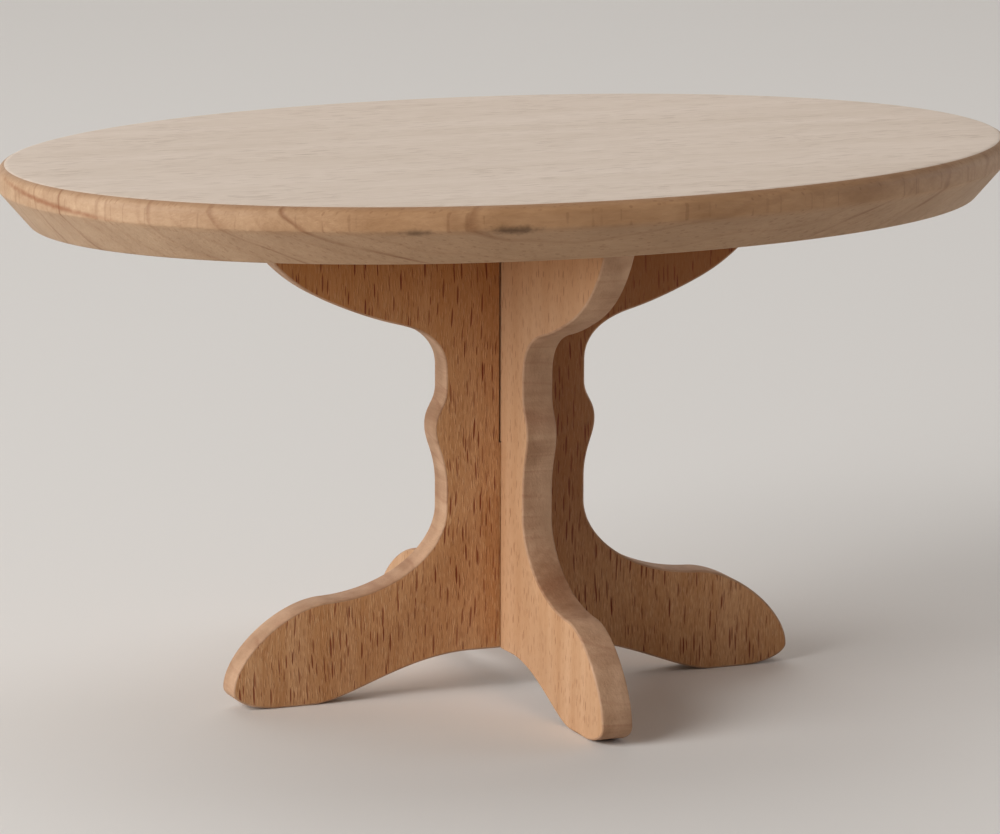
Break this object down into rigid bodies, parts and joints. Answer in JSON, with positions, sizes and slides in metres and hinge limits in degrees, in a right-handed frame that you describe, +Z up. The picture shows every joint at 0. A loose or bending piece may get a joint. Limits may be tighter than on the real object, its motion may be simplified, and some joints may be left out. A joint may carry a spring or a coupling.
{
  "type": "dolls house dining table",
  "caption": "Miniature oval dining table in plain beech, on a pedestal of two crossed sawn boards with curved arms, a column bead and rounded feet.",
  "frame": {"origin": "on the floor under the crossing of the two leg boards, which is the middle of the table's footprint", "axes": "+X along the oval top's long axis and the long leg board, +Y across the table along the cross leg board, +Z up"},
  "size_m": [0.1178, 0.0786, 0.062],
  "materials": {
    "top_beech": "matt, fine sanded, uncoated",
    "long_board_beech": "matt, sanded, uncoated",
    "cross_board_beech": "matt, sanded, uncoated",
    "dowel_beech": "matt, turned, uncoated"
  },
  "bodies": {
    "root": {"table_top": "top_beech", "long_leg_board": "long_board_beech", "cross_leg_board": "cross_board_beech", "top_dowel_left": "dowel_beech", "top_dowel_right": "dowel_beech", "top_dowel_front": "dowel_beech", "top_dowel_back": "dowel_beech"}
  },
  "joints": []
}
